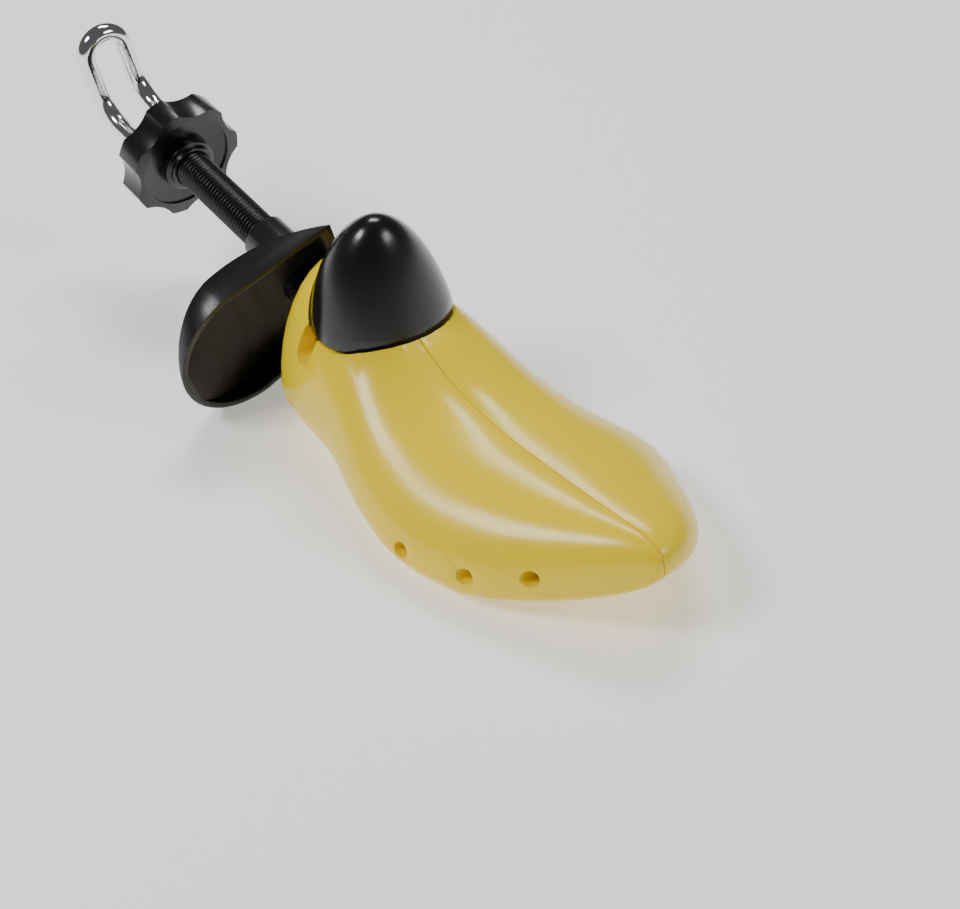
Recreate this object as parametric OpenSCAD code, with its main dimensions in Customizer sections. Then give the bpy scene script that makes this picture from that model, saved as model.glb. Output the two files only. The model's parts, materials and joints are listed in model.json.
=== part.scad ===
// Expanding shoe stretcher: a split hollow last with an instep cap, a threaded tube
// with a lobed knob, a heel piece that rides on the tube, and a bent wire handle
// whose rod pulls a wedge between the two half lasts.
// +X points to the toe, +Y to the left, +Z up, and the ground is z = 0.
// The working axis leaves the last at the back and rises by axis_tilt.
// Distances called "along" run backwards along that axis from above x = 0.

/* [Axis] */
// height of the axis above the ground at x = 0
axis_z = 30.2; // [28:0.1:32]
// rise of the axis towards the heel
axis_tilt = 9; // [7:0.5:10]

/* [Last] */
// wall thickness of the half lasts
wall = 2.6; // [2:0.1:3.2]
// width of the split between the two half lasts
split = 0.4; // [0.3:0.05:0.6]
// x of the toe's end
toe_x = 118.8; // [116:0.2:122]
// height of the toe's foremost point
toe_z = 28.2; // [24:0.2:30]
// radius of the rounded back edge
back_round = 7; // [5:0.5:9]
// bore of the bump plug holes
plug_d = 5.8; // [5:0.1:6.5]

/* [Instep cap] */
// height of the cap's top
cap_top = 87.6; // [85:0.2:90]
// half width of the cap at its foot
cap_half = 26; // [25:0.5:27]
// length of the cap's foot
cap_length = 44; // [42:0.5:45]
// thickness of the cap
cap_wall = 2.2; // [1.8:0.1:2.6]

/* [Length screw] */
// outer diameter over the tube's thread
tube_d = 14; // [13:0.1:14.4]
// diameter of the knob over its lobes
knob_d = 46; // [42:1:48]
// number of lobes round the knob
knob_lobes = 7; // [6:1:9]
// thickness of the knob
knob_h = 11.5; // [10:0.5:13]

/* [Heel piece] */
// radius of the rounded heel end
heel_r = 28.7; // [27:0.1:30]
// distance from the tube to the centre of the rounded end
heel_reach = 31.3; // [30:0.1:32.5]
// turn of the heel piece about the tube, from hanging down towards the left
heel_roll = 70; // [62:1:72]
// wall thickness of the heel piece
heel_wall = 2.3; // [2:0.1:2.8]

/* [Handle] */
// diameter of the bent wire
wire_d = 7; // [6:0.5:7]
// diameter of the pulling rod
rod_d = 6; // [5.6:0.1:6]
// distance between the wire's two legs
loop_w = 16; // [15:1:24]
// turn of the handle about the axis
handle_roll = -12; // [-30:1:30]

/* [Spreader] */
// sideways travel of a half last for each millimetre of wedge travel
wedge_slope = 0.4; // [0.3:0.05:0.45]
// diameter of the round guide posts
post_d = 6; // [5:0.5:6]
// radial clearance of the running fits
fit = 0.05; // [0.03:0.01:0.08]

/* [Hidden] */
$fn = 64;
// stations along the last, and at each the half widths to the right and left of the
// split, the height of the top and the height of the widest line as a part of it
st = [-50, -30, -8, 16, 40, 64, 88, 116];
right_w = [25.3, 30.4, 33.7, 40.6, 43.8, 38.8, 29.9, 18.4];
left_w = [26.4, 31.6, 36.7, 41.3, 46.9, 52.0, 42.8, 34.4];
top_z = [60.8, 60.0, 53.7, 42.0, 37.0, 36.7, 37.4, 39.6];
widest = [0.26, 0.35, 0.38, 0.32, 0.21, 0.20, 0.23, 0.25];
// where each side starts to close towards the toe, and how bluntly
close_right = [65, 1.72];
close_left = [71.5, 2.35];
close_top = [92.5, 3];
close_sole = [65.5, 1.5];
back_x = st[0];
// middle of the cap's foot, and its height below the last's skin
cap_mid = [-22, 2];
cap_foot = 46.2;
pocket_floor = cap_foot - 0.6;
pocket_gap = 0.6;
plug_depth = 8;
length_steps = 15;
ring_steps = 16;
body_yellow = [0.95, 0.78, 0.05];
black = [0.07, 0.07, 0.07];
steel = [0.72, 0.73, 0.75];
brass = [0.80, 0.62, 0.30];
// spreader layout along the axis
rear_front = 28;
rear_back = 40;
nose_front = 22;
front_back = -57;
front_front = -71;
front_post = -67;
rear_post = 34;
wedge_front = -51;
wedge_back = -25;
wedge_narrow = 5;
lean_gap = 0.3;
// oval recesses in the flank: where, how tall and how deep
screw_at = [-29, cap_foot - 3.9];
screw_tall = 6;
screw_floor = 18.5;
slot_at = [-38.5, 10];
slot_tall = 4.5;
ramp_root = 22;
rail_u = -9.2;
rail_y = 10;
rail_d = 4;
rail_seat = 2.6;
front_u = 6.2;
rear_low = -11;
heel_front = 57;
hub_back = 90.7;
hub_d = 17.4;
ring_front = 136.5;
knob_front = 141;
knob_back = knob_front + knob_h;
ring_d = 21;
shift_x = 33.74;
shift_y = 3.04;

// Curve through the stations with a slope at each from its neighbours.
function slope(k, v, i) = i == 0 ? (v[1] - v[0]) / (k[1] - k[0])
    : i == len(k) - 1 ? (v[i] - v[i - 1]) / (k[i] - k[i - 1])
    : (v[i + 1] - v[i - 1]) / (k[i + 1] - k[i - 1]);
function span(k, x, i = 0) = i >= len(k) - 2 || x < k[i + 1] ? i : span(k, x, i + 1);
function curve(k, v, x) =
    let (i = span(k, x), h = k[i + 1] - k[i], t = (x - k[i]) / h)
    (2 * t^3 - 3 * t^2 + 1) * v[i] + (t^3 - 2 * t^2 + t) * h * slope(k, v, i)
    + (3 * t^2 - 2 * t^3) * v[i + 1] + (t^3 - t^2) * h * slope(k, v, i + 1);
// Rounded closing of a side: 1 up to its start and 0 at the toe's end.
function closing(x, c, x1) =
    let (q = max(0, min(1, (x - c[0]) / (x1 - c[0])))) pow(max(0, 1 - pow(q, c[1])), 1 / c[1]);

// One ring of the last at x, from the split's top round the side to its bottom.
// inner moves every face in by the wall, side is 1 to the left and -1 to the right.
function ring(x, side, inner) =
    let (
        x1 = toe_x - inner,
        r = max(0, min(1, (back_x + inner + back_round - x) / back_round)),
        ins = back_round * (1 - sqrt(1 - r^2)) + inner,
        w = curve(st, side > 0 ? left_w : right_w, x)
            * closing(x, side > 0 ? close_left : close_right, x1) - ins,
        top = toe_z + (curve(st, top_z, x) - toe_z) * closing(x, close_top, x1) - ins,
        low = toe_z - toe_z * closing(x, close_sole, x1) + ins / 2 + inner / 2,
        mid = low + (top - low) * curve(st, widest, x)
    )
    [for (j = [0:ring_steps])
        let (a = 180 * j / ring_steps, s = sin(a), c = cos(a))
        [x, side * (split / 2 + max(0, w) * pow(s, c > 0 ? 1 : 0.72)),
            c > 0 ? mid + (top - mid) * c : mid - (mid - low) * pow(-c, 0.72)]];

// Stations of the rings: close together at the rounded back and at the toe.
function places(inner) =
    let (a = back_x + inner, b = 84, e = toe_x - inner)
    [for (i = [0:4]) a + back_round * (1 - cos(90 * i / 5)),
        for (i = [0:length_steps]) a + back_round + (b - a - back_round) * i / (length_steps),
        for (i = [1:9]) b + (e - b) * sin(90 * i / 10)];

// Faces of a skin whose rings have m points each, with n rings; out turns them round.
function skin(n, m, base, out) =
    [for (i = [0:n - 2], j = [0:m - 2])
        let (p = base + i * m + j)
        each out ? [[p, p + m, p + m + 1], [p, p + m + 1, p + 1]]
            : [[p, p + m + 1, p + m], [p, p + 1, p + m + 1]]];
// A solid from points and triangles that are listed anticlockwise from outside.
module solid(points, faces) {
    polyhedron(points, [for (f = faces) [f[0], f[2], f[1]]]);
}
function fan(tip, base, m, out) =
    [for (j = [0:m - 2]) out ? [tip, base + j, base + j + 1] : [tip, base + j + 1, base + j]];

// A hollow half last, open on the split, made of one outer and one inner skin.
module half_shell(side) {
    ox = places(0);
    ix = places(wall);
    n = len(ox);
    m = ring_steps + 1;
    outer = [for (x = ox) each ring(x, side, 0)];
    inner = [for (x = ix) each ring(x, side, wall)];
    y0 = side * split / 2;
    tips = [[back_x, y0, 30], [toe_x, y0, toe_z],
        [back_x + wall, y0, 30], [toe_x - wall, y0, toe_z]];
    ni = n * m;
    t = 2 * n * m;
    left = side > 0;
    rim = [for (i = [0:n - 2], e = [0, m - 1])
        let (p = i * m + e, q = p + m, a = ni + p, b = ni + q, f = (e == 0) == left)
        each f ? [[p, a, b], [p, b, q]] : [[p, b, a], [p, q, b]]];
    ends = [for (e = [0, m - 1])
        let (p = e, a = ni + e, q = (n - 1) * m + e, b = ni + q, f = (e == 0) == left)
        each f ? [[t, t + 2, a], [t, a, p], [q, b, t + 3], [q, t + 3, t + 1]]
            : [[t, a, t + 2], [t, p, a], [q, t + 3, b], [q, t + 1, t + 3]]];
    solid(concat(outer, inner, tips), concat(
        skin(n, m, 0, left), skin(n, m, ni, !left), rim, ends,
        fan(t, 0, m, left), fan(t + 1, (n - 1) * m, m, !left),
        fan(t + 2, ni, m, !left), fan(t + 3, ni + (n - 1) * m, m, left)));
}

// The same half as a solid block, to trim the ribs inside it.
module half_block(side) {
    ox = places(0);
    n = len(ox);
    m = ring_steps + 1;
    t = n * m;
    left = side > 0;
    flat = [for (i = [0:n - 2])
        let (a = i * m, b = a + m, c = a + m - 1, d = b + m - 1)
        each left ? [[a, c, d], [a, d, b]] : [[a, d, c], [a, b, d]]];
    back = [for (j = [1:m - 2]) left ? [0, j, j + 1] : [0, j + 1, j]];
    toe = left ? [[t, t - m, t - 1]] : [[t, t - 1, t - m]];
    solid(concat([for (x = ox) each ring(x, side, 0)], [[toe_x, side * split / 2, toe_z]]),
        concat(skin(n, m, 0, left), flat, back, toe, fan(t, (n - 1) * m, m, !left)));
}

// Puts children on the working axis: their z runs backwards along it, x upwards.
module on_axis() {
    translate([0, 0, axis_z]) rotate([0, axis_tilt - 90, 0]) children();
}

// A round bar along the axis between two distances.
module bar(from, to, d) {
    translate([0, 0, from]) cylinder(h = to - from, d = d);
}

// A round bar across the axis, from y0 to y1, at distance s and height u.
module cross_bar(s, u, y0, y1, d) {
    translate([u, min(y0, y1), s]) rotate([-90, 0, 0]) cylinder(h = abs(y1 - y0), d = d);
}

module carrier_block() {
    color(black) on_axis() difference() {
        union() {
            translate([-15.5, -19.8, rear_front]) cube([10.5, 39.6, rear_back - rear_front]);
            translate([-6, -12, rear_front]) cube([11, 24, rear_back - rear_front]);
            translate([4, -9.5, rear_front]) cube([9, 19, rear_back - rear_front]);
        }
        bar(rear_front - 1, rear_back + 1, tube_d - 2 + 2 * fit);
        for (y = [-rail_y, rail_y]) translate([rail_u, y, 0])
            bar(rear_front - 1, rear_front + rail_seat, rail_d);
        cross_bar(rear_post, rear_low, -20, 20, post_d + 2 * fit);
        translate([13.1, 0, rear_post]) rotate([0, -90, 0]) cylinder(h = 4, d = 5);
    }
}

module front_guide_block() {
    color(black) on_axis() difference() {
        translate([-12, -15, front_front]) cube([22, 30, front_back - front_front]);
        bar(front_front - 1, front_back + 1, rod_d + 2 * fit);
        for (y = [-rail_y, rail_y]) translate([rail_u, y, 0])
            bar(front_back - rail_seat, front_back + 1, rail_d);
        for (u = [-front_u, front_u]) cross_bar(front_post, u, -16, 16, post_d - 2 + 2 * fit);
    }
}

module spine_rod(y) {
    color(steel) on_axis() translate([rail_u, y, 0])
        bar(front_back - rail_seat, rear_front + rail_seat, rail_d);
}

// The instep cap: a hollow dome over an oval foot. Its rings shrink towards the top
// as cap_fade says, quickly near the top and slowly near the foot, and its middle leans
// back at half height and to the right at the top.
cap_rows = 12;
cap_round = 40;
function cap_fade(t) = pow(1 - pow(t, 1.37), 0.55);
function cap_centre(t) = cap_mid + [9 * t^2 - 8 * t, -3 * t^2];
function cap_level(i) = 1 - pow(1 - i / cap_rows, 1.6);
function cap_ring(t, inner) =
    [for (j = [0:cap_round - 1])
        let (a = 360 * j / cap_round, f = cap_fade(t), c = cap_centre(t))
        [c[0] + (cap_length / 2 * f - inner) * cos(a), c[1] + (cap_half * f - inner) * sin(a),
            cap_foot + (cap_top - cap_foot) * t - inner * t]];
module cap_skin() {
    n = cap_rows;
    m = cap_round;
    outer = [for (i = [0:n - 1]) each cap_ring(cap_level(i), 0)];
    inner = [for (i = [0:n - 1]) each cap_ring(cap_level(i), cap_wall)];
    t = 2 * n * m;
    c = cap_centre(1);
    tips = [[c[0], c[1], cap_top], [c[0], c[1], cap_top - cap_wall]];
    walls = [for (i = [0:n - 2], j = [0:m - 1])
        let (a = i * m + j, b = i * m + (j + 1) % m, k = n * m)
        each [[a, b, b + m], [a, b + m, a + m], [k + a, k + b + m, k + b], [k + a, k + a + m, k + b + m]]];
    top = [for (j = [0:m - 1])
        let (a = (n - 1) * m + j, b = (n - 1) * m + (j + 1) % m, k = n * m)
        each [[a, b, t], [k + b, k + a, t + 1]]];
    foot = [for (j = [0:m - 1])
        let (a = j, b = (j + 1) % m, k = n * m) each [[a, k + a, k + b], [a, k + b, b]]];
    solid(concat(outer, inner, tips), concat(walls, top, foot));
}
module instep_cap() {
    color(black) cap_skin();
}

module cap_post() {
    color(black) on_axis() translate([9.1, 0, rear_post]) rotate([0, 90, 0]) cylinder(h = 39, d = 5);
}

// Space under the cap that each half leaves free so that it can slide out sideways.
module cap_pocket(grow) {
    a = cap_length / 2 + pocket_gap + grow;
    b = cap_half + pocket_gap + grow;
    translate([cap_mid[0], cap_mid[1], pocket_floor - grow]) linear_extrude(40)
        polygon([for (i = [0:59]) [a * cos(6 * i), b * sin(6 * i)]]);
}

// An upright oval bar across the last: round above and below, flat between.
module oval(side, at, from, to, d, tall) {
    for (e = [-1, 1]) translate([at[0], side * from, at[1] + e * tall / 2]) rotate([-side * 90, 0, 0])
        cylinder(h = to - from, d = d);
    translate([at[0] - d / 2, min(side * from, side * to), at[1] - tall / 2]) cube([d, to - from, tall]);
}

// Ribs and sockets inside a half last, before they are trimmed to its form.
module half_ribs(side) {
    on_axis() {
        translate([-11, side > 0 ? ramp_root : -60, front_post - 5]) cube([22, 60 - ramp_root, 10]);
        translate([-6, side > 0 ? ramp_root : -60, wedge_front + 3]) cube([12, 60 - ramp_root, 20]);
        translate([-15, side > 0 ? 20.5 : -60, rear_post - 5]) cube([9.5, 39.5, 10]);
    }
    for (p = plugs(side)) translate([p[0], p[1], p[2]]) rotate([-side * 90, 0, 0])
        translate([0, 0, -plug_depth]) cylinder(h = 30, d = plug_d + 4);
    oval(side, screw_at, 13, 30, 12.5, screw_tall);
    oval(side, slot_at, 21, 30, 9, slot_tall);
}

// Places where the plug holes leave the flank. The left ones lie further forward, as
// the left flank's widest part does.
function plugs(side) = side < 0
    ? [[43.4, -41.5, 10.5], [67.8, -35.7, 12.5], [86.5, -25, 18.5]]
    : [[47, 46.5, 11.5], [71.5, 48, 13.5], [90.5, 38, 19.5]];

module last_half(side) {
    color(body_yellow) difference() {
        union() {
            half_shell(side);
            intersection() {
                half_block(side);
                half_ribs(side);
            }
            intersection() {
                half_block(side);
                difference() {
                    cap_pocket(wall);
                    translate([-60, -14.6, 30]) cube([90, 29.2, 60]);
                }
            }
        }
        cap_pocket(0);
        translate([-40.5, -12, pocket_floor - 4.6]) cube([34.5, 24, 20]);
        on_axis() bar(rear_back, 70, tube_d + 1.2);
        on_axis() {
            cross_bar(rear_post, rear_low, side * 20, side * 28, post_d);
            for (u = [-front_u, front_u]) cross_bar(front_post, u, side * 21, side * 25.5, post_d - 2);
        }
        for (p = plugs(side)) translate([p[0], p[1], p[2]]) rotate([-side * 90, 0, 0])
            translate([0, 0, -plug_depth - 0.05]) cylinder(h = 40, d = plug_d);
        oval(side, screw_at, screw_floor, 50, 8.4, screw_tall);
        oval(side, slot_at, 25, 50, 4.6, slot_tall);
        translate([screw_at[0], side * 14, screw_at[1]]) rotate([-side * 90, 0, 0]) cylinder(h = 20, d = 3.2);
    }
}

// A round guide post fixed in a half last and sliding in a cross bore.
module guide_post(s, u, side, from, to, d) {
    color(steel) on_axis() cross_bar(s, u, side * from, side * to, d);
}

// A ramp's sloping face runs along the wedge at lean_gap.
module ramp(side) {
    y = function (s) side * (wedge_narrow + wedge_slope * (wedge_back - s) + lean_gap);
    a = wedge_front + 3;
    b = a + 20;
    color(black) on_axis() translate([-6, 0, 0]) rotate([0, 90, 0]) linear_extrude(12)
        polygon([[-a, y(a)], [-b, y(b)], [-b, side * ramp_root], [-a, side * ramp_root]]);
}

module wedge_nut() {
    w = wedge_narrow;
    e = w + wedge_slope * (wedge_back - wedge_front);
    color(black) on_axis() difference() {
        translate([-6.5, 0, 0]) rotate([0, 90, 0]) linear_extrude(13)
            polygon([[-wedge_front, -e], [-wedge_front, e], [-wedge_back, w], [-wedge_back, -w]]);
        bar(wedge_front - 1, wedge_back + 1, rod_d + 2 * fit);
    }
}

module side_screw(side) {
    color(brass) translate([screw_at[0], side * 14, screw_at[1]]) rotate([-side * 90, 0, 0]) {
        cylinder(h = screw_floor - 14, d = 3.2);
        translate([0, 0, screw_floor - 14]) cylinder(h = 2, d = 6);
    }
}

// The bent loop: a round wire whose two legs run back side by side, turn up by
// hook_bend on hook_round and meet in a half ring. Each stop on its path is a point,
// its direction and the direction across that the ring of points starts from.
hook_bend = 80;
hook_round = 14;
hook_leg = 12;
hook_start = knob_back + 3;
hook_turn = knob_back + 20;
hook_sides = 20;
function bend_stop(y, a) = let (n = hook_round)
    [[n * (1 - cos(a)), y, hook_turn + n * sin(a)], [sin(a), 0, cos(a)], [0, 1, 0]];
function top_stop(a) =
    let (b = bend_stop(0, hook_bend), d = b[1], r = loop_w / 2)
    [b[0] + d * (hook_leg + r * sin(a)) + [0, -r * cos(a), 0],
        d * cos(a) + [0, sin(a), 0], [0, cos(a), 0] - d * sin(a)];
function turned(stop) = [stop[0], -stop[1], -stop[2]];
hook_path = concat(
    [[[0, -loop_w / 2, hook_start], [0, 0, 1], [0, 1, 0]]],
    [for (a = [0:6]) bend_stop(-loop_w / 2, hook_bend * a / 6)],
    [for (a = [0:16]) top_stop(180 * a / 16)],
    [for (a = [6:-1:0]) turned(bend_stop(loop_w / 2, hook_bend * a / 6))],
    [[[0, loop_w / 2, hook_start], [0, 0, -1], [0, -1, 0]]]);
module handle_loop() {
    n = len(hook_path);
    m = hook_sides;
    points = [for (p = hook_path, j = [0:m - 1])
        let (a = 360 * j / m, up = cross(p[1], p[2]))
        p[0] + wire_d / 2 * (cos(a) * p[2] + sin(a) * up)];
    wall_faces = [for (i = [0:n - 2], j = [0:m - 1])
        let (a = i * m + j, b = i * m + (j + 1) % m)
        each [[a, b, b + m], [a, b + m, a + m]]];
    first = [for (j = [1:m - 2]) [0, j + 1, j]];
    b = (n - 1) * m;
    last = [for (j = [1:m - 2]) [b, b + j, b + j + 1]];
    solid(points, concat(wall_faces, first, last));
}

module hook_handle() {
    color(steel) on_axis() rotate([0, 0, handle_roll]) handle_loop();
}

module handle_hub() {
    color(steel) on_axis() rotate([0, 0, handle_roll]) difference() {
        bar(knob_back + 0.5, knob_back + 5.5, loop_w + 11);
        bar(knob_back - 1, knob_back + 7, rod_d);
        for (y = [-1, 1]) translate([0, y * loop_w / 2, 0]) bar(knob_back + 3, knob_back + 7, wire_d);
    }
}

module pull_rod() {
    color(steel) on_axis() bar(front_front - 6, knob_back + 5.5, rod_d);
}

module thrust_collar() {
    color(steel) on_axis() difference() {
        bar(front_back + 0.1, front_back + 4, 11);
        bar(front_back - 1, front_back + 5, rod_d);
    }
}

module end_nut() {
    color(steel) on_axis() difference() {
        translate([0, 0, front_front - 4.6]) cylinder(h = 4.5, d = 11, $fn = 6);
        bar(front_front - 6, front_front + 1, rod_d);
    }
}

module length_screw() {
    color(black) on_axis() difference() {
        union() {
            bar(nose_front, rear_front - 0.5, tube_d - 4);
            bar(rear_front - 0.5, rear_back + 0.2, tube_d - 2);
            bar(rear_back + 0.2, knob_back - 2, tube_d);
        }
        bar(nose_front - 1, knob_back, rod_d + 0.8);
    }
}

module knob_outline() {
    pitch = 360 / knob_lobes;
    difference() {
        circle(d = knob_d, $fn = 128);
        for (i = [0:knob_lobes - 1]) rotate(i * pitch + 9) translate([knob_d / 2 + 7, 0]) circle(r = 10);
    }
}

module length_knob() {
    color(black) on_axis() difference() {
        union() {
            translate([0, 0, knob_front]) linear_extrude(knob_h) intersection() {
                knob_outline();
                circle(d = knob_d, $fn = 128);
            }
        }
        bar(knob_front - 1, knob_back - 2, tube_d);
        bar(knob_back - 3, knob_back + 1, rod_d + 0.8);
    }
}

module knob_collar() {
    color(black) on_axis() difference() {
        union() {
            bar(ring_front, knob_front, ring_d - 3);
            bar(ring_front + 2, knob_front, ring_d);
        }
        bar(ring_front - 1, knob_front + 1, tube_d);
    }
}

module screw_retainer() {
    color(steel) on_axis() difference() {
        bar(nose_front, rear_front - 0.5, tube_d + 2);
        bar(nose_front - 1, rear_front, tube_d - 4);
    }
}

// Outline of the heel piece in its own plane: x points down its length. Straight
// sides touch the round end and the two small corners.
heel_top = 18;
heel_top_half = 26;
heel_corner = 7;
function arc(c, r, a, b, n) = [for (i = [0:n]) let (t = a + (b - a) * i / n) c + r * [cos(t), sin(t)]];
module heel_outline(inset) {
    end = [heel_reach, 0];
    corner = [heel_corner - heel_top, heel_top_half - heel_corner];
    low = [corner[0], -corner[1]];
    reach = end - corner;
    lean = 90 + atan(corner[1] / reach[0]) - asin((heel_r - heel_corner) / norm(reach));
    r = heel_r - inset;
    c = heel_corner - inset;
    polygon(concat(arc(end, r, -lean, lean, 48), arc(corner, c, lean, 180, 8), arc(low, c, 180, 360 - lean, 8)));
}

// The heel piece: a shallow shell with a curved back, open towards the last.
module heel_plate() {
    bend = 62;
    color(black) on_axis() rotate([0, 0, 180 + heel_roll]) difference() {
        union() {
            intersection() {
                translate([0, 0, heel_front]) linear_extrude(20) heel_outline(0);
                translate([24, 40, heel_front + 12 - bend]) rotate([90, 0, 0]) cylinder(h = 80, r = bend, $fn = 128);
            }
            bar(heel_front + 6, hub_back, hub_d);
            translate([0, 0, heel_front + 9]) cylinder(h = 6, d1 = 27, d2 = hub_d);
        }
        difference() {
            intersection() {
                translate([0, 0, heel_front - 1]) linear_extrude(20) heel_outline(heel_wall);
                translate([24, 40, heel_front + 12 - bend]) rotate([90, 0, 0])
                    cylinder(h = 80, r = bend - heel_wall, $fn = 128);
            }
            bar(heel_front + 3, hub_back, hub_d + 3);
        }
        bar(heel_front - 5, hub_back + 1, tube_d + 2 * fit);
    }
}

// Whole object, with its origin under the middle of its bounding box.
module placed() {
    translate([shift_x, shift_y, 0]) children();
}

placed() {
    carrier_block();
    front_guide_block();
    spine_rod(rail_y);  // spine_rod_left
    spine_rod(-rail_y);  // spine_rod_right
    instep_cap();
    cap_post();
    last_half(1);  // last_half_left
    last_half(-1);  // last_half_right
    ramp(1);  // ramp_left
    ramp(-1);  // ramp_right
    guide_post(rear_post, rear_low, 1, 0.5, 28, post_d);  // low_post_left
    guide_post(front_post, front_u, 1, 0.5, 25.5, post_d - 2);  // front_post_upper_left
    guide_post(front_post, -front_u, 1, 0.5, 25.5, post_d - 2);  // front_post_lower_left
    guide_post(rear_post, rear_low, -1, 0.5, 28, post_d);  // low_post_right
    guide_post(front_post, front_u, -1, 0.5, 25.5, post_d - 2);  // front_post_upper_right
    guide_post(front_post, -front_u, -1, 0.5, 25.5, post_d - 2);  // front_post_lower_right
    side_screw(1);  // side_screw_left
    side_screw(-1);  // side_screw_right
    wedge_nut();
    hook_handle();
    handle_hub();
    pull_rod();
    thrust_collar();
    end_nut();
    length_screw();
    length_knob();
    knob_collar();
    screw_retainer();
    heel_plate();
}
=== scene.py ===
# %% [markdown]
# # Shoe stretcher
# One expanding shoe stretcher: a split yellow last with a black instep cap, a threaded
# tube with a lobed knob, a black heel piece and a bent chrome wire handle. The packed
# CAD model is the fixed frame, and this notebook gives it its looks.
# %% Start
import bpy
import json
import math
from mathutils import Matrix, Vector


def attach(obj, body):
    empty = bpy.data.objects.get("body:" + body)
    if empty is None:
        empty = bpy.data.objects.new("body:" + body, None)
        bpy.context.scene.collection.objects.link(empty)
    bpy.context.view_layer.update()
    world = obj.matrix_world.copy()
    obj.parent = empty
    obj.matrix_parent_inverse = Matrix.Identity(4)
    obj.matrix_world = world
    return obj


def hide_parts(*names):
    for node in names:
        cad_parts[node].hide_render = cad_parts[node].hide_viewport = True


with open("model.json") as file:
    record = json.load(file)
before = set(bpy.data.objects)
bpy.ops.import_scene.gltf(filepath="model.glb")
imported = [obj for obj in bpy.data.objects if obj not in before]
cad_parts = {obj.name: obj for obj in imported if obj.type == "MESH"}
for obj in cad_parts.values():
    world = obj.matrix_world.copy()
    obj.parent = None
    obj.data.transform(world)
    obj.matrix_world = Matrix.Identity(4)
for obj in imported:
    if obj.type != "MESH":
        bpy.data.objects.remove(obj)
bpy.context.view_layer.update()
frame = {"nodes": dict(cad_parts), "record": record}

# %% [markdown]
# ## Camera
# The photograph looks down on the stretcher from beyond the toe's right side. Lens,
# height and direction were worked out from like points of two equal stretchers that
# stand on one ground plane, so the rendered outline can be laid over the photograph.
# %% Camera
SHIFT = Vector((0.03374, 0.00304, 0.0))
cam_data = bpy.data.cameras.new("photo_camera")
cam_data.sensor_width = 36.0
cam_data.lens = 67.6
cam = bpy.data.objects.new("photo_camera", cam_data)
bpy.context.scene.collection.objects.link(cam)
cam.location = Vector((0.3808, -0.2949, 0.414)) + SHIFT
heading, pitch = math.radians(139.78), math.radians(40.82)
flat = math.cos(pitch)
look = Vector((math.cos(heading) * flat, math.sin(heading) * flat, -math.sin(pitch)))
cam.rotation_mode = "QUATERNION"
cam.rotation_quaternion = look.to_track_quat("-Z", "Y")
cam_data.clip_start, cam_data.clip_end = 0.01, 20
bpy.context.scene.camera = cam

# %% [markdown]
# ## Materials
# Every finish is a Principled shader whose roughness and bump come from noise on Object
# coordinates. Two node groups hold what several finishes share: the faint flow marks of
# moulded plastic, and the fine rubbing marks of handled metal.
# %% Node helpers
def new_group(name, outputs):
    g = bpy.data.node_groups.new(name, "ShaderNodeTree")
    for n in outputs:
        g.interface.new_socket(n, in_out="OUTPUT", socket_type="NodeSocketFloat")
    return g, g.nodes.new("NodeGroupOutput")


def noise(tree, scale, detail=3.0, rough=0.5, stretch=None):
    coord = tree.nodes.new("ShaderNodeTexCoord")
    n = tree.nodes.new("ShaderNodeTexNoise")
    n.inputs["Scale"].default_value = scale
    n.inputs["Detail"].default_value = detail
    n.inputs["Roughness"].default_value = rough
    if stretch:
        m = tree.nodes.new("ShaderNodeMapping")
        m.inputs["Scale"].default_value = stretch
        tree.links.new(coord.outputs["Object"], m.inputs["Vector"])
        tree.links.new(m.outputs["Vector"], n.inputs["Vector"])
    else:
        tree.links.new(coord.outputs["Object"], n.inputs["Vector"])
    return n.outputs["Fac"]


def remap(tree, value, lo, hi, to_lo, to_hi):
    r = tree.nodes.new("ShaderNodeMapRange")
    r.inputs["From Min"].default_value = lo
    r.inputs["From Max"].default_value = hi
    r.inputs["To Min"].default_value = to_lo
    r.inputs["To Max"].default_value = to_hi
    tree.links.new(value, r.inputs["Value"])
    return r.outputs["Result"]


# %% Shared groups
flow, out = new_group("flow_marks", ("Rough", "Height", "Tone"))
flow.links.new(remap(flow, noise(flow, 24, 4), 0.3, 0.7, -0.03, 0.05), out.inputs["Rough"])
flow.links.new(noise(flow, 900, 2), out.inputs["Height"])
flow.links.new(remap(flow, noise(flow, 9, 2), 0.25, 0.75, 0.0, 1.0), out.inputs["Tone"])
rub, out = new_group("rub_marks", ("Rough", "Height"))
rub.links.new(remap(rub, noise(rub, 60, 5, 0.65), 0.35, 0.75, 0.0, 0.12), out.inputs["Rough"])
rub.links.new(noise(rub, 700, 2, 0.5, (1, 1, 6)), out.inputs["Height"])


def add(tree, value, constant):
    m = tree.nodes.new("ShaderNodeMath")
    m.operation = "ADD"
    m.inputs[1].default_value = constant
    tree.links.new(value, m.inputs[0])
    return m.outputs[0]


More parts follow.
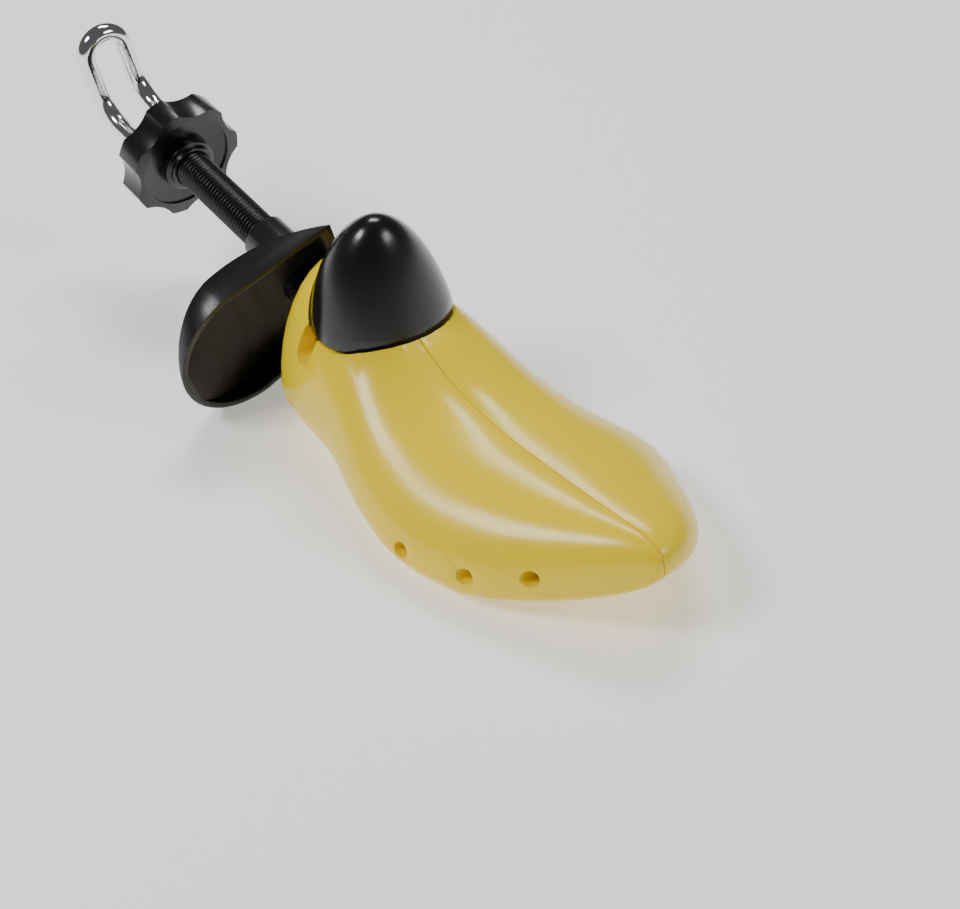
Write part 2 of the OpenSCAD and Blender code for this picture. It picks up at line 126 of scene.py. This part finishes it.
def finish(name, group, color, rough, bump, color2=None, **fixed):
    mat = bpy.data.materials.new(name)
    mat.use_nodes = True
    t = mat.node_tree
    b = t.nodes["Principled BSDF"]
    g = t.nodes.new("ShaderNodeGroup")
    g.node_tree = group
    t.links.new(add(t, g.outputs["Rough"], rough), b.inputs["Roughness"])
    bp = t.nodes.new("ShaderNodeBump")
    bp.inputs["Strength"].default_value = bump
    bp.inputs["Distance"].default_value = 0.0002
    t.links.new(g.outputs["Height"], bp.inputs["Height"])
    t.links.new(bp.outputs["Normal"], b.inputs["Normal"])
    b.inputs["Base Color"].default_value = (*color, 1)
    if color2:
        mix = t.nodes.new("ShaderNodeMix")
        mix.data_type = "RGBA"
        mix.inputs[6].default_value = (*color, 1)
        mix.inputs[7].default_value = (*color2, 1)
        t.links.new(g.outputs["Tone"], mix.inputs[0])
        t.links.new(mix.outputs[2], b.inputs["Base Color"])
    for k, v in fixed.items():
        b.inputs[k.replace("_", " ")].default_value = v
    return mat


# %% [markdown]
# The yellow is a saturated, slightly warm gloss plastic. A thin coat gives it its sharp
# reflections over a softer sheen. The blacks differ: the cap, knob and collar are
# glossy, and the heel piece and tube are duller and slightly grey on their lit sides.
# %% Finishes
yellow = finish("yellow_gloss", flow, (1.0, 0.73, 0.0), 0.25, 0.05, (0.97, 0.69, 0.0),
                Coat_Weight=0.15, Coat_Roughness=0.1, IOR=1.4)
gloss = finish("black_gloss", flow, (0.003, 0.003, 0.0035), 0.26, 0.04, (0.005, 0.005, 0.006),
               Coat_Weight=0.35, Coat_Roughness=0.2, IOR=1.45)
satin = finish("black_satin", flow, (0.006, 0.006, 0.0065), 0.32, 0.2,
               (0.010, 0.010, 0.0105), IOR=1.45)
chrome = finish("chrome_wire", rub, (0.86, 0.87, 0.89), 0.04, 0.05, Metallic=1.0)
steel = finish("turned_steel", rub, (0.55, 0.55, 0.57), 0.28, 0.2, Metallic=1.0)
brass = finish("screw_brass", rub, (0.80, 0.62, 0.30), 0.18, 0.15, Metallic=1.0)
LOOK = {"yellow_plastic": yellow, "black_plastic": satin, "gloss_black": gloss,
        "chrome": chrome, "steel": steel, "brass": brass}
slot_of = {s["node"]: s["material_slot"] for s in frame["record"]["subparts"]}
for name, o in frame["nodes"].items():
    o.data.materials.clear()
    o.data.materials.append(LOOK[slot_of[name]])
print("finishes", sorted(LOOK))

# %% [markdown]
# ## Carried-over pieces
# A CAD node arrives as loose triangles. Welding them and rounding only the sharp edges
# gives each moulded piece the small radius that catches the light, and leaves its
# smooth skins as they are.
# %% Soften the CAD nodes
def soften(name, width, angle=38, segments=2):
    o = frame["nodes"][name]
    o.data.polygons.foreach_set("use_smooth", [True] * len(o.data.polygons))
    w = o.modifiers.new("weld", "WELD")
    w.merge_threshold = 0.00001
    b = o.modifiers.new("edges", "BEVEL")
    b.width = width
    b.segments = segments
    b.limit_method = "ANGLE"
    b.angle_limit = math.radians(angle)
    b.use_clamp_overlap = True
    b.harden_normals = True


SMALL_EDGE = 0.0002
EDGE = {"heel_plate": 0.0009, "last_half_left": 0.0004, "last_half_right": 0.0004,
        "instep_cap": 0.0006, "carrier_block": 0.0005, "front_guide_block": 0.0005}
for name in frame["nodes"]:
    soften(name, EDGE.get(name, SMALL_EDGE))

# %% [markdown]
# ## Working axis
# The turned pieces are built upright about Z, with X as their upper side, and then laid
# on the working axis, which rises nine degrees from the last towards the heel.
# %% Axis and helpers
AXIS_HEIGHT, AXIS_TILT = 0.0302, 9
AXIS = (Matrix.Translation(SHIFT + Vector((0, 0, AXIS_HEIGHT)))
        @ Matrix.Rotation(math.radians(AXIS_TILT - 90), 4, "Y"))


def only(o):
    bpy.ops.object.select_all(action="DESELECT")
    o.select_set(True)
    bpy.context.view_layer.objects.active = o


def edit(o, mode="EDGE"):
    only(o)
    bpy.ops.object.mode_set(mode="EDIT")
    bpy.ops.mesh.select_mode(type=mode)
    bpy.ops.mesh.select_all(action="SELECT")


def leave():
    bpy.ops.object.mode_set(mode="OBJECT")


def settle(o, name, mat, body, nodes, place=AXIS, angle=35):
    """Lays a finished piece in its place, gives it its finish, attaches it to its body and
    hides the CAD nodes it replaces.
    """
    only(o)
    o.name = name
    o.data.name = name
    o.matrix_world = place @ o.matrix_world
    bpy.ops.object.transform_apply(location=True, rotation=True, scale=True)
    bpy.ops.object.shade_smooth_by_angle(angle=math.radians(angle))
    o.data.materials.clear()
    o.data.materials.append(mat)
    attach(o, body)
    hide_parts(*nodes)
    print(name, len(o.data.polygons), "faces")


def cylinder(r, lo, hi, sides, x=0.0, y=0.0):
    bpy.ops.mesh.primitive_cylinder_add(vertices=sides, radius=r, depth=hi - lo,
                                        location=(x, y, (lo + hi) / 2))
    return bpy.context.object


def cut(o, tool, operation="DIFFERENCE"):
    m = o.modifiers.new("cut", "BOOLEAN")
    m.operation = operation
    m.solver = "EXACT"
    m.object = tool
    only(o)
    bpy.ops.object.modifier_apply(modifier="cut")
    bpy.data.objects.remove(tool)


def round_edges(o, width, segments=3, angle=40):
    m = o.modifiers.new("round", "BEVEL")
    m.width = width
    m.segments = segments
    m.limit_method = "ANGLE"
    m.angle_limit = math.radians(angle)
    only(o)
    bpy.ops.object.modifier_apply(modifier="round")


# %% [markdown]
# ## Threaded tube
# One tooth of the thread is drawn as a short open profile, and the screw modifier winds
# it along the tube at its real lead of 1.6 mm, so crests and roots catch the light as
# the photographed thread does. A plain core with the journal at its front carries it.
# %% Threaded tube
PITCH, ROOT, TURNS, THREAD_FOOT = 0.0016, 0.0061, 61, 0.0405
TOOTH = ((0.0002, 0.00018), (0.00058, 0.00040), (0.0001, 0.00022),
         (-0.0001, 0.00022), (-0.00058, 0.00040), (-0.0002, 0.00018))
bpy.ops.mesh.primitive_plane_add(size=0.001, location=(ROOT, 0, 0))
thread = bpy.context.object
only(thread)
bpy.ops.object.transform_apply(location=True)
edit(thread, "VERT")
bpy.ops.mesh.merge(type="CENTER")
for dx, dz in TOOTH:
    bpy.ops.mesh.extrude_region_move(TRANSFORM_OT_translate={"value": (dx, 0, dz)})
leave()
m = thread.modifiers.new("wind", "SCREW")
m.angle = math.tau
m.screw_offset = PITCH
m.iterations = TURNS
m.steps = m.render_steps = 40
m.use_merge_vertices = True
m.merge_threshold = 0.00001
only(thread)
bpy.ops.object.modifier_apply(modifier="wind")
thread.location = (0, 0, THREAD_FOOT)
edit(thread, "VERT")
bpy.ops.mesh.remove_doubles(threshold=0.00001)
leave()
for lower in (True, False):
    edit(thread, "EDGE")
    bpy.ops.mesh.select_all(action="DESELECT")
    bpy.ops.mesh.select_non_manifold(extend=False)
    leave()
    for e in thread.data.edges:
        z = sum(thread.data.vertices[i].co.z for i in e.vertices) / 2
        e.select = e.select and (z < 0.05) == lower
    bpy.ops.object.mode_set(mode="EDIT")
    bpy.ops.mesh.edge_face_add()
    leave()
edit(thread, "FACE")
bpy.ops.mesh.normals_make_consistent(inside=False)
leave()
core = cylinder(0.0060, 0.0272, 0.1505, 64)
nose = cylinder(0.0050, 0.0220, 0.0300, 64)
only(core)
nose.select_set(True)
thread.select_set(True)
bpy.ops.object.join()
settle(core, "threaded_tube", satin, "screw", ["length_screw"], angle=50)

# %% [markdown]
# ## Knob and collar
# The knob is a thick disc with seven round bites, softened all round so that each lobe
# shows one long highlight, and its front face is dished. The bites are wider and
# shallower than the CAD solid's. The collar in front of it is two stepped rings.
# %% Knob
KNOB, KNOB_R, KNOB_H = 0.141, 0.02298, 0.0115
LOBES, BITE_R, BITE_OUT = 7, 0.015, 0.0354
DISH_R, DISH_H, BORE_R = 0.0183, 0.0009, 0.0069
knob = cylinder(KNOB_R, KNOB, KNOB + KNOB_H, 224)
for i in range(LOBES):
    a = math.radians(9 + i * 360 / LOBES)
    x, y = BITE_OUT * math.cos(a), BITE_OUT * math.sin(a)
    cut(knob, cylinder(BITE_R, KNOB - 0.01, KNOB + 0.03, 128, x, y))
cut(knob, cylinder(DISH_R, KNOB - 0.005, KNOB + DISH_H, 128))
cut(knob, cylinder(BORE_R, KNOB - 0.01, KNOB + 0.03, 64))
round_edges(knob, 0.0013, 4)
settle(knob, "lobed_knob", gloss, "screw", ["length_knob"])

# %% Collar
RING_R, STEP_R = 0.0090, 0.01048
RING_FRONT, STEP_FRONT, RING_BACK = 0.1366, 0.1386, 0.1425
ring = cylinder(RING_R, RING_FRONT, RING_BACK, 96)
cut(ring, cylinder(STEP_R, STEP_FRONT, RING_BACK, 96), "UNION")
cut(ring, cylinder(BORE_R, 0.13, 0.15, 64))
round_edges(ring, 0.0006, 3)
settle(ring, "stepped_collar", gloss, "screw", ["knob_collar"])

# %% [markdown]
# ## Wire handle
# A round of wire is pushed along the handle's path as a bender would: straight out of
# the hub, turned up, straight again, round the half ring and back down the same way.
# Each straight is an extrusion and each bend a spin about its own centre.
# %% Wire handle
LOOP, BEND, ROUND, LEG = 0.008, math.radians(80), 0.014, 0.012
START, TURN, WIRE_R, ROLL = 0.1555, 0.1725, 0.00348, -12
bpy.ops.mesh.primitive_circle_add(vertices=40, radius=WIRE_R, location=(0, -LOOP, START),
                                  fill_type="NGON")
wire = bpy.context.object
only(wire)
bpy.ops.object.transform_apply(location=True)
edit(wire, "FACE")


def push(v):
    bpy.ops.mesh.extrude_region_move(TRANSFORM_OT_translate={"value": v})


def spin(center, axis, angle, steps):
    bpy.ops.mesh.spin(steps=steps, angle=-angle, center=center, axis=axis)


up = Vector((math.sin(BEND), 0, math.cos(BEND)))
leg_foot = Vector((ROUND * (1 - math.cos(BEND)), 0, TURN + ROUND * math.sin(BEND)))
ring_mid = leg_foot + up * LEG
ring_axis = Vector((math.cos(BEND), 0, -math.sin(BEND)))
push((0, 0, TURN - START))
spin((ROUND, -LOOP, TURN), (0, 1, 0), BEND, 10)
push(up * LEG)
spin(ring_mid, -ring_axis, math.pi, 28)
push(-up * LEG)
spin((ROUND, LOOP, TURN), (0, 1, 0), -BEND, 10)
push((0, 0, START - TURN))
bpy.ops.mesh.select_all(action="SELECT")
bpy.ops.mesh.remove_doubles(threshold=0.000002)
bpy.ops.mesh.normals_make_consistent(inside=False)
leave()
HANDLE = AXIS @ Matrix.Rotation(math.radians(ROLL), 4, "Z")
settle(wire, "wire_loop", chrome, "handle", ["hook_handle"], HANDLE)

# %% [markdown]
# ## Side screws
# Each half last shows a small brass screw at the bottom of its oval recess: a low domed
# head with a cross recess.
# %% Side screws
HEAD_R, SHANK_R = 0.00298, 0.0015
SCREW_ROOT, HEAD_FOOT, HEAD_TOP = 0.014, 0.0185, 0.0205
SCREW_AT = (-0.029, 0.0423)
for side, word in ((1, "left"), (-1, "right")):
    head = cylinder(HEAD_R, HEAD_FOOT - SCREW_ROOT, HEAD_TOP - SCREW_ROOT, 64)
    cut(head, cylinder(SHANK_R, 0.0, 0.005, 32), "UNION")
    round_edges(head, 0.0006, 3, 60)
    for turn in (0.35, 0.35 + math.pi / 2):
        bpy.ops.mesh.primitive_cube_add(size=1, location=(0, 0, 0.0066), rotation=(0, 0, turn))
        bar = bpy.context.object
        bar.scale = (0.0036, 0.0008, 0.0026)
        only(bar)
        bpy.ops.object.transform_apply(location=True, rotation=True, scale=True)
        cut(head, bar)
    seat = SHIFT + Vector((SCREW_AT[0], side * SCREW_ROOT, SCREW_AT[1]))
    place = Matrix.Translation(seat) @ Matrix.Rotation(math.radians(-side * 90), 4, "X")
    settle(head, "cross_screw_" + word, brass, word, ["side_screw_" + word], place)

# %% [markdown]
# ## Floor and light
# A plain pale floor stands in for what the stretcher lies on. Three soft lights stand
# round it: a key on the right side, one above the heel and a low one past the toe.
# %% Floor and light
bpy.ops.mesh.primitive_plane_add(size=8, location=(0, 0, -0.0002))
floor = bpy.context.object
floor.name = "floor"
paper = bpy.data.materials.new("paper")
paper.use_nodes = True
pb = paper.node_tree.nodes["Principled BSDF"]
pb.inputs["Base Color"].default_value = (0.92, 0.92, 0.92, 1)
pb.inputs["Roughness"].default_value = 0.7
pb.inputs["Emission Color"].default_value = (1, 1, 1, 1)
pb.inputs["Emission Strength"].default_value = 0.42
floor.data.materials.append(paper)
world = bpy.data.worlds.new("studio")
bpy.context.scene.world = world
world.use_nodes = True
world.node_tree.nodes["Background"].inputs[0].default_value = (1, 1, 1, 1)
world.node_tree.nodes["Background"].inputs[1].default_value = 0.10


def lamp(name, at, size, power, aim=(0, 0, 0.03)):
    data = bpy.data.lights.new(name, "AREA")
    data.shape = "RECTANGLE"
    data.size, data.size_y = size
    data.energy = power
    o = bpy.data.objects.new(name, data)
    bpy.context.scene.collection.objects.link(o)
    o.location = at
    o.rotation_mode = "QUATERNION"
    o.rotation_quaternion = (Vector(aim) - Vector(at)).to_track_quat("-Z", "Y")


lamp("key", (-0.25, -0.75, 0.95), (0.42, 0.3), 9)
lamp("top", (-0.5, 0.5, 1.1), (0.6, 0.3), 8)
lamp("rim", (0.9, 0.6, 0.7), (0.5, 0.3), 4)
